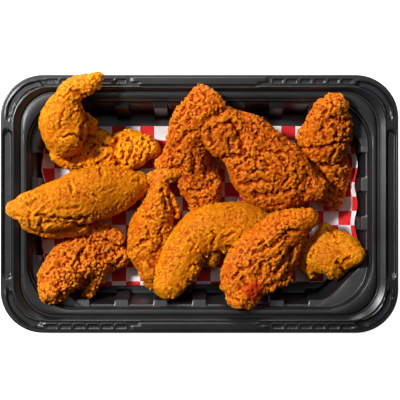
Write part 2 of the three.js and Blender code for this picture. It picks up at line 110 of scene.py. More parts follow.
def fine_places(limit, ribs, fine_from):
    """Distances from the middle of a side, closer together on the flanks of the ribs."""
    places = [np.arange(0.0, limit, COARSE_STEP), np.arange(fine_from, limit, FINE_STEP), [limit]]
    for rib in ribs:
        for flank in (rib - 0.25 * (RIB_TIP + RIB_BASE), rib + 0.25 * (RIB_TIP + RIB_BASE)):
            places.append(flank + np.linspace(-FLANK_REACH, FLANK_REACH, FLANK_POINTS))
    merged = np.unique(np.round(np.concatenate(places), 2))
    merged = merged[(merged > FIRST_PLACE) & (merged <= limit)]
    return merged[np.concatenate([[True], np.diff(merged) > LEAST_STEP])]


def rib_share(place, ribs):
    """How far the wall stands in at each place: 0 between ribs and 1 on a rib's tip."""
    nearest = np.min(np.abs(place[:, None] - np.array(ribs)[None, :]), axis=1)
    ramp = np.clip((RIB_BASE / 2 - nearest) / ((RIB_BASE - RIB_TIP) / 2), 0, 1)
    return ramp * ramp * (3 - 2 * ramp)


END_PLACES = fine_places(END_STRAIGHT, SHORT_RIBS, END_STRAIGHT)
SIDE_FLANKS = LONG_RIBS + (PLATFORM_START + RIB_BASE / 2,)
SIDE_PLACES = fine_places(SIDE_STRAIGHT, SIDE_FLANKS, DASHES_START)[::-1]


def whole_ring(quarter, height):
    """A closed ring from the points of the quarter where x and y are positive."""
    x, y = np.array(quarter).T
    px = np.concatenate([x, -x[::-1], -x, x[::-1]])
    py = np.concatenate([y, y[::-1], -y, -y[::-1]])
    return np.stack([px, py, np.full(len(px), height)], axis=1)


def rim_ring(end, side, radius, height):
    """A rectangle with round corners, inset from the tray's outer edge."""
    hx, hy = TRAY_HALF_X - end, TRAY_HALF_Y - side
    points = [(hx, y) for y in END_PLACES]
    points += [(hx, y) for y in np.linspace(END_STRAIGHT, hy - radius, END_EXTRA + 2)[1:-1]]
    for angle in np.linspace(0, math.pi / 2, CORNER_STATIONS):
        points.append((hx - radius + radius * math.cos(angle), hy - radius + radius * math.sin(angle)))
    points += [(x, hy) for x in np.linspace(hx - radius, SIDE_STRAIGHT, SIDE_EXTRA + 2)[1:-1]]
    points += [(x, hy) for x in SIDE_PLACES]
    return whole_ring(points, height)


def well_ring(inset, height):
    """The ribbed wall of the well with a straight wall across each corner."""
    gap_x = TRAY_HALF_X - WELL_END_INSET - inset
    gap_y = TRAY_HALF_Y - WELL_SIDE_INSET - inset
    tip_x, tip_y = gap_x - RIB_DEPTH, gap_y - RIB_DEPTH
    cut = PLATFORM_CUT - inset * math.sqrt(2)
    ends = rib_share(END_PLACES, SHORT_RIBS)
    points = [(gap_x - RIB_DEPTH * s, y) for y, s in zip(END_PLACES, ends)]
    pull = PLATFORM_TURN * TURN_PULL
    line = np.array([
        (tip_x, END_STRAIGHT),
        (tip_x, cut - tip_x - PLATFORM_TURN),
        (tip_x - pull, cut - tip_x + pull),
        (cut - tip_y + pull, tip_y - pull),
        (cut - tip_y - PLATFORM_TURN, tip_y),
        (SIDE_STRAIGHT, tip_y),
    ])
    reach = np.concatenate([[0], np.cumsum(np.linalg.norm(np.diff(line, axis=0), axis=1))])
    along = np.linspace(0, reach[-1], CORNER_STATIONS + END_EXTRA + SIDE_EXTRA + 2)[1:-1]
    xs, ys = np.interp(along, reach, line[:, 0]), np.interp(along, reach, line[:, 1])
    points += list(zip(xs, ys))
    sides = rib_share(SIDE_PLACES, LONG_RIBS)
    platform = np.clip((SIDE_PLACES - PLATFORM_START) / ((RIB_BASE - RIB_TIP) / 2), 0, 1)
    sides = np.maximum(sides, platform)
    points += [(x, gap_y - RIB_DEPTH * s) for x, s in zip(SIDE_PLACES, sides)]
    return whole_ring(points, height)


# The largest share of a stretch that a rounding takes, and where its arc has points.
ROUNDING_LIMIT = 0.45
WIDE_ROUNDING = 0.5
WIDE_ARC = (0.3, 0.7, 1.0)
NARROW_ARC = (0.5, 1.0)


def rounded_profile(rings, roundings, counts):
    """Rings with each edge of the profile rounded, and flat stretches split into equal steps."""
    out = [rings[0]]
    for i in range(1, len(rings)):
        start = out[-1]
        if i == len(rings) - 1:
            stop, arc = rings[i], []
        else:
            back, ahead = rings[i - 1] - rings[i], rings[i + 1] - rings[i]
            back_len = np.linalg.norm(back, axis=1, keepdims=True)
            ahead_len = np.linalg.norm(ahead, axis=1, keepdims=True)
            reach_back = np.minimum(roundings[i], back_len * ROUNDING_LIMIT) / back_len
            reach_ahead = np.minimum(roundings[i], ahead_len * ROUNDING_LIMIT) / ahead_len
            stop = rings[i] + back * reach_back
            after = rings[i] + ahead * reach_ahead
            arc = []
            for t in (WIDE_ARC if roundings[i] > WIDE_ROUNDING else NARROW_ARC):
                arc.append(stop * (1 - t) ** 2 + rings[i] * 2 * t * (1 - t) + after * t ** 2)
        for k in range(1, counts[i - 1] + 1):
            share = k / counts[i - 1]
            out.append(start * (1 - share) + stop * share)
        out.extend(arc)
    return out


# Forms pressed into the flat of the rim, in millimetres: insets are from the tray's outer edge.
CORNER_GROOVE = {"centre": 35, "radius": 27.6, "half_width": 2.5, "half_turn": 39, "depth": 2.0, "bevel": 0.9}
END_SLOT = {"inset": 5.9, "half_length": 56.4, "half_width": 3.7, "depth": 2.2, "bevel": 1.6}
DASH = {"first": 64.0, "pitch": 11.3, "count": 6, "inset": 5.5, "half_length": 4.4, "half_width": 1.7}
DASH_DEPTH = 0.7
SOFT_BEVEL = 0.8
PANEL_RISE = 0.75
# Half length and half width of the raised panel and of its longer step, with their insets.
PANEL = (48.5, 3.1, 5.4)
PANEL_STEP = (55.0, 2.0, 4.3)
PANEL_LINE = (47.5, 0.9, 9.5)
LINE_DEPTH = 0.7
LINE_BEVEL = 0.9
LINE_CORNER = 0.4
BEVEL_SHIFT = 0.3
BEAD_PLACE = 0.5
FLAT_TOLERANCE = 0.02


def capsule(x, y, half_length, radius):
    """Distance outside a stadium along x: negative inside it."""
    return np.hypot(np.maximum(np.abs(x) - half_length, 0), y) - radius


def plate(x, y, half_x, half_y, corner=0.8):
    """Distance outside a rectangle with slightly round corners."""
    dx, dy = np.abs(x) - half_x + corner, np.abs(y) - half_y + corner
    return np.hypot(np.maximum(dx, 0), np.maximum(dy, 0)) + np.minimum(np.maximum(dx, dy), 0) - corner


def pressed(distance, depth, bevel):
    """Height of a pressed form of that depth, with a soft bevel along its edge."""
    t = np.clip(-distance / bevel + BEVEL_SHIFT, 0, 1)
    return depth * t * t * (3 - 2 * t)


def beaded(distance, height, width=0.5):
    """Height of a low round bead along the edge of a pressed form."""
    return height * np.exp(-((distance - BEAD_PLACE) / width) ** 2)


def rim_relief(x, y):
    """Grooves and panels pressed into the flat of the rim."""
    x, y = np.abs(x), np.abs(y)
    centre = CORNER_GROOVE["centre"]
    turn = np.arctan2(y - (TRAY_HALF_Y - centre), x - (TRAY_HALF_X - centre)) - math.pi / 4
    reach = np.hypot(y - (TRAY_HALF_Y - centre), x - (TRAY_HALF_X - centre))
    beyond = np.maximum(np.abs(turn) - math.radians(CORNER_GROOVE["half_turn"]), 0) * reach
    groove = np.hypot(beyond, reach - CORNER_GROOVE["radius"]) - CORNER_GROOVE["half_width"]
    relief = beaded(groove, 0.5) - pressed(groove, CORNER_GROOVE["depth"], CORNER_GROOVE["bevel"])
    slot = capsule(y, x - (TRAY_HALF_X - END_SLOT["inset"]), END_SLOT["half_length"], END_SLOT["half_width"])
    relief -= pressed(slot, END_SLOT["depth"], END_SLOT["bevel"])
    side = TRAY_HALF_Y - y
    for k in range(DASH["count"]):
        along = x - DASH["first"] - DASH["pitch"] * k
        dash = plate(along, side - DASH["inset"], DASH["half_length"], DASH["half_width"])
        relief += beaded(dash, 0.25) - pressed(dash, DASH_DEPTH, SOFT_BEVEL)
    panels = [plate(x, side - inset, length, width) for length, width, inset in (PANEL, PANEL_STEP)]
    relief += pressed(np.minimum(*panels), PANEL_RISE, SOFT_BEVEL)
    length, width, inset = PANEL_LINE
    relief -= pressed(plate(x, side - inset, length, width, LINE_CORNER), LINE_DEPTH, LINE_BEVEL)
    return relief


def tray_rings():
    """Rings of the whole skin: from the middle of the underside out to the lip and back in."""
    steps = [rim_ring(*step[:4]) for step in RIM_STEPS]
    roundings = [step[4] for step in RIM_STEPS]
    steps += [
        well_ring(0, WELL_TOP),
        well_ring(WALL_LEAN, TRAY_WALL + FLOOR_FILLET),
        well_ring(WALL_LEAN + FLOOR_FILLET, TRAY_WALL),
        well_ring(WALL_LEAN + FLOOR_FILLET + FLOOR_EDGE, TRAY_WALL),
    ]
    upper = rounded_profile(steps, roundings + WELL_ROUNDINGS, RIM_SPLITS + WELL_SPLITS)
    for ring in upper:
        on_rim = ring[:, 2] > TRAY_TOP - FLAT_TOLERANCE
        ring[on_rim, 2] += rim_relief(ring[on_rim, 0], ring[on_rim, 1])

    bend = TRAY_WALL * BEND_SHARE
    under = [
        well_ring(WALL_LEAN + FLOOR_FILLET - bend + FLOOR_EDGE, 0),
        well_ring(WALL_LEAN + FLOOR_FILLET - bend, 0),
        well_ring(WALL_LEAN - TRAY_WALL, FLOOR_FILLET),
        well_ring(-TRAY_WALL, WELL_TOP - TRAY_WALL),
    ]
    for step in UNDER_STEPS:
        end, side, radius, height, _ = RIM_STEPS[step]
        under.append(rim_ring(end - TRAY_WALL, side - TRAY_WALL, radius, height - TRAY_WALL))
    end, side, radius, _, _ = RIM_STEPS[FLAT_INNER_STEP]
    edge = RIM_STEPS[1][0] + TRAY_WALL
    flat_inner = rim_ring(end, side, radius, TRAY_TOP - TRAY_WALL)
    flat_outer = rim_ring(edge, edge, UNDER_FLAT_RADIUS, TRAY_TOP - TRAY_WALL)
    for share in np.linspace(0, 1, UNDER_FLAT_RINGS):
        ring = flat_inner * (1 - share) + flat_outer * share
        ring[:, 2] += rim_relief(ring[:, 0], ring[:, 1])
        under.append(ring)
    under.append(rim_ring(TRAY_WALL, TRAY_WALL, UNDER_LIP_RADIUS, RIM_STEPS[0][3]))
    return under + upper


def mesh_piece(name, points, faces):
    """A new object from points in millimetres."""
    mesh = bpy.data.meshes.new(name)
    mesh.from_pydata((np.asarray(points) * MM).tolist(), [], faces)
    mesh.validate()
    mesh.update()
    piece = bpy.data.objects.new(name, mesh)
    bpy.context.scene.collection.objects.link(piece)
    return piece


def smooth_shaded(piece, angle=None):
    """Smooth shading, with sharp edges over an angle where one is given."""
    piece.data.polygons.foreach_set("use_smooth", [True] * len(piece.data.polygons))
    if angle is not None:
        piece.data.set_sharp_from_angle(angle=angle)


SHARP_EDGE = math.radians(50)


def build_tray():
    """The closed skin of the tray, from ring to ring, with a point in the middle of each floor."""
    rings = tray_rings()
    count = len(rings[0])
    points = np.concatenate([[[0, 0, 0]]] + rings + [[[0, 0, TRAY_WALL]]])
    faces = []
    last = len(points) - 1
    for r in range(len(rings) - 1):
        low, high_spot_highlight = 1 + r * count, 1 + (r + 1) * count
        for k in range(count):
            n = (k + 1) % count
            faces.append((low + k, low + n, high_spot_highlight + n, high_spot_highlight + k))
    top = 1 + (len(rings) - 1) * count
    for k in range(count):
        n = (k + 1) % count
        faces.append((0, 1 + n, 1 + k))
        faces.append((last, top + k, top + n))
    tray = mesh_piece("takeaway_tray", points, faces)
    smooth_shaded(tray, SHARP_EDGE)
    return tray


def linear(code):
    """A hex sRGB colour as linear red, green, blue and alpha."""
    parts = [int(code[i:i + 2], 16) / 255 for i in (1, 3, 5)]
    return tuple(c / 12.92 if c <= 0.04045 else ((c + 0.055) / 1.055) ** 2.4 for c in parts) + (1.0,)


def in_use(sockets, name=None):
    """The first socket in use, of that name where one is given."""
    return next(s for s in sockets if s.enabled and name in (None, s.name))


def add_node(tree, kind, feeds=(), **settings):
    """Adds a node with its settings; feeds give inputs a value, a socket, a node or a list of these."""
    node = tree.nodes.new(kind)
    for key, value in settings.items():
        setattr(node, key, value)
    for key, value in dict(feeds).items():
        socket = node.inputs[key] if isinstance(key, int) else in_use(node.inputs, key)
        for feed in value if isinstance(value, list) else [value]:
            if isinstance(feed, bpy.types.Node):
                feed = in_use(feed.outputs)
            if isinstance(feed, bpy.types.NodeSocket):
                tree.links.new(feed, socket)
            else:
                socket.default_value = feed
    return node


def new_material(name):
    """An empty node material, and add_node for its tree."""
    material = bpy.data.materials.new(name)
    material.use_nodes = True
    material.node_tree.nodes.clear()
    return material, partial(add_node, material.node_tree)


def polypropylene():
    """Black polypropylene, thermoformed: a satin skin, slightly rippled where it was drawn.

    Its real grain is finer; it is drawn 0.9 mm wide so that it shows.
    """
    material, add = new_material("black_polypropylene_thermoformed")
    place = add("ShaderNodeTexCoord").outputs["Object"]
    ripple = add("ShaderNodeTexNoise", {"Vector": place, "Scale": 1 / (9 * MM), "Detail": 3.0})
    grain = add("ShaderNodeTexNoise", {"Vector": place, "Scale": 1 / (0.9 * MM), "Detail": 2.0})
    haze = add("ShaderNodeTexNoise", {"Vector": place, "Scale": 1 / (38 * MM), "Detail": 4.0})
    tint = add("ShaderNodeValToRGB", {"Fac": haze})
    for stop, position, code in zip(tint.color_ramp.elements, (0.3, 0.75), (PLASTIC_DARK, PLASTIC_LIGHT)):
        stop.position = position
        stop.color = linear(code)
    rough = add("ShaderNodeMapRange", {"Value": haze, "To Min": 0.3, "To Max": 0.42})
    height = add("ShaderNodeMath", {0: grain, 1: 0.12, 2: ripple}, operation="MULTIPLY_ADD")
    bump = add("ShaderNodeBump", {"Height": height, "Strength": 0.25, "Distance": 0.4 * MM})
    skin = add("ShaderNodeBsdfPrincipled", {
        "Base Color": tint, "Roughness": rough, "IOR": 1.49, "Specular IOR Level": 0.6, "Normal": bump,
    })
    add("ShaderNodeOutputMaterial", {"Surface": skin})
    return material


def dress(piece, material, slot, *nodes):
    """The finished piece gets its material, rides on the body and stands for its solids."""
    piece.data.materials.clear()
    piece.data.materials.append(material)
    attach(piece, "root")
    if nodes:
        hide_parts(*nodes)


tray = build_tray()
dress(tray, polypropylene(), "tray_plastic", "tray")


# The check paper.
# A sheet of greaseproof paper, printed with a red and white check of 12 mm squares and laid
# on the tray's floor. Both short ends turn up against the end walls and bulge between the ribs.
PAPER_THICKNESS = 0.16
PAPER_SQUARE = 12.0
PAPER_FLAT = 112.0
PAPER_RISE = 19.0
PAPER_REACH = 17.4
PAPER_SLANT = 1.25
PAPER_BEND = 1.6
PAPER_BACK = 66.0
PAPER_FRONT = 71.0
PAPER_SKEW = 5.0
PAPER_CORNER_INSET = 8
PAPER_CORNER_RISE = 4
PAPER_BULGE = 2.6
RIB_PITCH = SHORT_RIBS[1] - SHORT_RIBS[0]
PAPER_CLEARANCE = 0.45
PAPER_COLUMNS = 150
PAPER_ROWS = 80
PAPER_WHITE = "#E2DBE0"
PAPER_RED = "#CC060E"
PAPER_OILED = "#C9A070"
# Heights of the sheet's swells, lifted edges and rucks, and how often each comes, in radians
# for each millimetre.
SWELL_LIFT = 0.35
SWELL_WAVES = (0.07, 0.05, 0.09)
EDGE_LIFT = 0.8
EDGE_SHARE = 0.1
EDGE_WAVE = 0.11
EDGE_PHASE = 1.3
RUCK_LIFT = 0.5
RUCK_WAVES = (0.31, 0.17, 0.23, 0.05)
RUCK_ON_FLAT = 0.3
LEAST_RUCK = -0.3
# Where the print starts from the middle of the sheet, and whole squares that keep it positive.
PRINT_SHIFT = (50.4, 54.0)
SQUARES_ADDED = 40
METRE = 1000


def paper_surface(u, v):
    """A point of the sheet in millimetres, for u and v from -1 to 1."""
    along_half = PAPER_FLAT + PAPER_RISE * PAPER_SLANT
    along = u * along_half
    turn = np.maximum(0, np.abs(along) - PAPER_FLAT) / (along_half - PAPER_FLAT)
    reach = PAPER_FLAT + PAPER_REACH * (1 - (1 - turn) ** PAPER_BEND)
    x = np.where(turn > 0, np.sign(along) * reach, along)
    corner = PLATFORM_CUT - PAPER_CORNER_INSET * math.sqrt(2) - np.abs(x) + PAPER_CORNER_RISE * turn
    front = np.minimum(PAPER_FRONT - PAPER_SKEW * (u + 1) / 2, corner)
    back = np.minimum(PAPER_BACK, corner)
    y = np.where(v < 0, v * front, v * back)
    between_ribs = np.cos((np.abs(y) - RIB_PITCH) * 2 * math.pi / RIB_PITCH) * 0.5 + 0.5
    bulge = turn ** 2 * PAPER_BULGE * between_ribs
    x = x + np.sign(along) * bulge * (np.abs(y) < SHORT_RIBS[1])
    long_wave, skew_wave, cross_wave = SWELL_WAVES
    lift = SWELL_LIFT * (1 + np.sin(x * long_wave + y * skew_wave) * np.cos(y * cross_wave))
    edge = np.clip((np.abs(v) - (1 - EDGE_SHARE)) / EDGE_SHARE, 0, 1)
    lift = lift + edge * EDGE_LIFT * (1 + np.sin(x * EDGE_WAVE + np.sign(v) * EDGE_PHASE))
    long_wave, skew_wave, cross_wave, back_wave = RUCK_WAVES
    ruck = RUCK_LIFT * np.sin(x * long_wave + y * skew_wave) * np.sin(y * cross_wave - x * back_wave)
    ruck = ruck * (RUCK_ON_FLAT + turn)
    z = TRAY_WALL + PAPER_CLEARANCE + lift + np.maximum(ruck, LEAST_RUCK) + PAPER_RISE * turn ** 2
    return np.stack([x, y, z], axis=-1), along


def build_paper():
    """The sheet as a grid with its flat places as a UV map, then with a thickness."""
    columns, rows = np.linspace(-1, 1, PAPER_COLUMNS + 1), np.linspace(-1, 1, PAPER_ROWS + 1)
    u, v = np.meshgrid(columns, rows, indexing="ij")
    top, along = paper_surface(u, v)
    row = PAPER_ROWS + 1
    cells = [(i * row + j, (i + 1) * row + j, (i + 1) * row + j + 1, i * row + j + 1)
             for i in range(PAPER_COLUMNS) for j in range(PAPER_ROWS)]
    paper = mesh_piece("check_paper", top.reshape(-1, 3), cells)
    flat = np.stack([along.ravel(), top[..., 1].ravel()], axis=1)
    layer = paper.data.uv_layers.new(name="print")
    corners = np.zeros(len(paper.data.loops), np.int32)
    paper.data.loops.foreach_get("vertex_index", corners)
    layer.data.foreach_set("uv", (flat[corners] / METRE).ravel())
    solid = paper.modifiers.new("thickness", "SOLIDIFY")
    solid.thickness = PAPER_THICKNESS * MM
    solid.offset = -1
    baked(paper)
    smooth_shaded(paper)
    return paper


def baked(piece):
    """Turns the evaluated piece into a plain mesh and takes its modifiers off."""
    graph = bpy.context.evaluated_depsgraph_get()
    mesh = bpy.data.meshes.new_from_object(piece.evaluated_get(graph))
    old = piece.data
    piece.modifiers.clear()
    piece.data = mesh
    bpy.data.meshes.remove(old)
    mesh.name = piece.name
    return piece


def check_print():
    """Greaseproof paper, printed: matt with clean squares, darker and glossier where oil soaked in.

    Its real fibres are finer; they are drawn 1.2 mm wide so that they show.
    """
    material, add = new_material("greaseproof_paper_check_print")
    place = add("ShaderNodeUVMap", uv_map="print")
    solid = add("ShaderNodeTexCoord").outputs["Object"]
    split = add("ShaderNodeSeparateXYZ", {0: place})
    shifted = []
    for axis, shift in enumerate(PRINT_SHIFT):
        moved = add("ShaderNodeMath", {
            0: split.outputs[axis], 1: METRE / PAPER_SQUARE, 2: shift / PAPER_SQUARE + SQUARES_ADDED,
        }, operation="MULTIPLY_ADD")
        shifted.append(add("ShaderNodeMath", {0: moved}, operation="FLOOR"))
    total = add("ShaderNodeMath", {0: shifted[0], 1: shifted[1]}, operation="ADD")
    odd = add("ShaderNodeMath", {0: total, 1: 2.0}, operation="MODULO")
    fibre = add("ShaderNodeTexNoise", {"Vector": solid, "Scale": 1 / (1.2 * MM), "Detail": 3.0})
    ink = add("ShaderNodeMapRange", {"Value": fibre, "From Min": 0.2, "From Max": 0.8,
                                     "To Min": 0.96, "To Max": 1.0})
    inked = add("ShaderNodeMath", {0: odd, 1: ink}, operation="MULTIPLY")
    colour = add("ShaderNodeMix", {"Factor": inked, "A": linear(PAPER_WHITE), "B": linear(PAPER_RED)},
                 data_type="RGBA")
    oil = add("ShaderNodeTexNoise", {"Vector": solid, "Scale": 1 / (26 * MM), "Detail": 3.0})
    stain = add("ShaderNodeMapRange", {"Value": oil, "From Min": 0.52, "From Max": 0.66,
                                       "To Min": 0.0, "To Max": 0.35})
    stained = add("ShaderNodeMix", {"Factor": stain, "A": colour, "B": linear(PAPER_OILED)},
                  data_type="RGBA", blend_type="MULTIPLY")
    rough = add("ShaderNodeMapRange", {"Value": stain, "From Max": 0.35, "To Min": 0.62, "To Max": 0.4})
    crinkle = add("ShaderNodeTexNoise", {"Vector": solid, "Scale": 1 / (5 * MM), "Detail": 4.0})
    bump = add("ShaderNodeBump", {"Height": crinkle, "Strength": 0.35, "Distance": 0.5 * MM})
    sheet = add("ShaderNodeBsdfPrincipled", {
        "Base Color": stained, "Roughness": rough, "IOR": 1.45, "Specular IOR Level": 0.2, "Normal": bump,
    })
    add("ShaderNodeOutputMaterial", {"Surface": sheet})
    return material


paper = build_paper()
dress(paper, check_print(), "check_paper", "paper_liner")


# The chicken tenders.
# Strips of chicken breast in a flour crust, deep-fried: the crust puffs into domes and lumps,
# splits into creases, and holds flakes of loose flour that fried hard. Each keeps its solid's form.
# The creases are placed where a camera at this height and place in y, in metres, sees them in
# a frame of 400 pixels. A pixel covers FRAME_PIXEL millimetres at a metre from the camera.
CAMERA_HEIGHT = 1.046
CREASE_VIEW_Y = 0.0028
FRAME_PIXEL = 0.82
FRAME_HALF = 200
VOXEL = 0.55 * MM
BASE_VOXEL = 1.4 * MM
MERGE_DISTANCE = 0.02 * MM
SWELL = 0.6 * MM
# A scorched red spot: its middle in millimetres, its radius, and how ragged its edge is.
SCORCHED = {"tender_top": (45.0, -71.0, 58.0)}
SCORCH_RADIUS = 7.8 * MM
SCORCH_EDGE = 2.4 * MM
SCORCH_RED = "#B02C04"
BROWNED = "#A03600"
PEPPER = "#4A1E06"
CREASE_DEPTH = 1.1
CREASE_WIDTH = 1.5
WIDTH_WAVER = 0.3
WAVER_ACROSS = 0.7
WAVER_DOWN = 0.5
# The lines wander by under a pixel, so that no crease runs straight: each wave's height, how
# often it comes across and down the frame, and where it starts.
WANDER_ACROSS = ((0.6, 0.23, 0.61, 0.0), (0.3, -0.81, 0.37, 1.7))
WANDER_DOWN = ((0.6, 0.53, -0.31, 0.0), (0.3, 0.41, 0.77, 0.6))
LIP_SHARE = 0.25
LIP_PLACE = 2.4
UPPER_FROM = -0.05
UPPER_SPAN = 0.4
PRESS_ALONG_NORMAL = 0.6
PRESS_DOWN = (0, 0, 0.4)
# For each tender: how craggy it is, how thickly flakes lie on it, its seed, and the hex
# colours of the painted shade in its creases, of its body, and of the painted highlight on its high spots.
TENDERS = {
    "tender_low": (0.6, 0.8, 11, "#902C00", "#DE7404", "#ECA018"),
    "tender_middle": (0.6, 0.7, 12, "#842800", "#C26004", "#D88814"),
    "tender_upright": (0.85, 1.0, 13, "#741C00", "#C05404", "#D67E1A"),
    "tender_ragged": (0.95, 1.0, 14, "#741C00", "#C65C06", "#DC8620"),
    "tender_leaning": (0.85, 1.0, 15, "#741C00", "#C05404", "#D67E1A"),
    "tender_round": (0.4, 0.6, 16, "#963600", "#C66A02", "#DC9410"),
    "tender_curved": (0.37, 0.6, 17, "#963400", "#C66A02", "#DE9410"),
    "tender_long": (0.35, 0.6, 18, "#983A00", "#C86C04", "#DC9216"),
    "tender_hooked": (0.35, 0.6, 19, "#963800", "#D06E04", "#E0981A"),
    "tender_broad": (0.65, 0.9, 20, "#741C00", "#B64E02", "#CC7616"),
    "tender_top": (0.8, 0.6, 21, "#761E00", "#C05804", "#D68216"),
}


